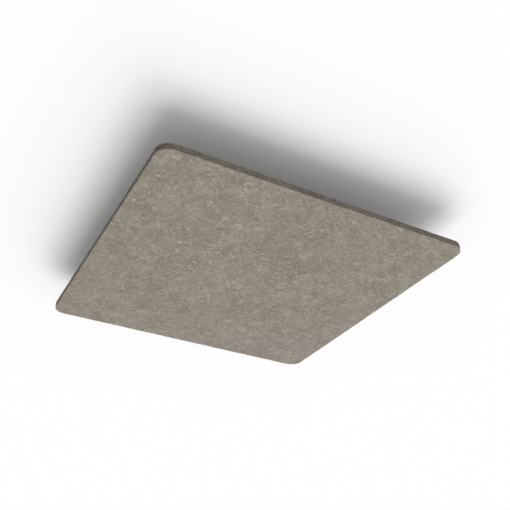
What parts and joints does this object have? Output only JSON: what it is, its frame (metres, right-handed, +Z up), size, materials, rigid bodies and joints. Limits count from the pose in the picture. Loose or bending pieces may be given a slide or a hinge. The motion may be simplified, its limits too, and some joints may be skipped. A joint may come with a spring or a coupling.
{
  "type": "suspended ceiling tile",
  "caption": "Square felt board with rounded corners that hangs level under a ceiling on wires anchored in its back, to absorb sound.",
  "frame": {"origin": "centre of the back face, in the middle of the four hanging holes", "axes": "+Z up, out of the back towards the ceiling; +X and +Y along the sides; the visible face looks along -Z"},
  "size_m": [0.6, 0.6, 0.012],
  "materials": {
    "felt": "matte needle-punched polyester felt, taupe melange with paler flecks"
  },
  "bodies": {
    "root": {"felt_tile": "felt"}
  },
  "joints": []
}
